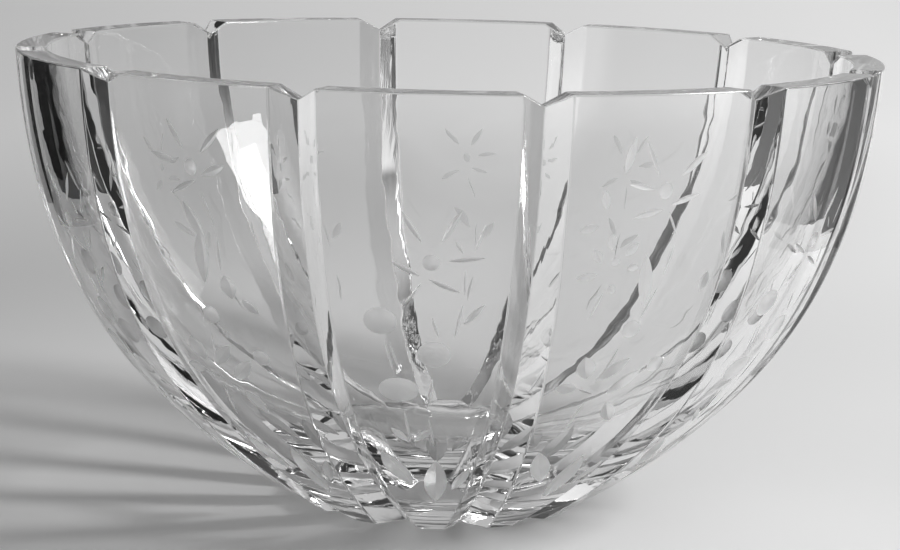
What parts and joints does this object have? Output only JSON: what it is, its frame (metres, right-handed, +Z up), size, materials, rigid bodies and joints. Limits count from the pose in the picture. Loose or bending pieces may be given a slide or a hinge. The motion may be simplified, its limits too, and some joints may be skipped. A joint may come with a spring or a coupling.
{
  "type": "bowl",
  "caption": "Round heavy cut-glass bowl with vertical mitre grooves down its outside, notches across the rim and a smooth hollow, for fruit or as a centrepiece.",
  "frame": {"origin": "middle of the flat base, on the surface that the bowl stands on", "axes": "+Z up along the axis that the bowl was turned on; a panel between two grooves faces -Y; +X to the right seen from the front"},
  "size_m": [0.25, 0.25, 0.133],
  "materials": {
    "lead_crystal": "polished clear lead crystal, with matt wheel-engraved flowers on the outside"
  },
  "bodies": {
    "root": {"bowl": "lead_crystal"}
  },
  "joints": []
}
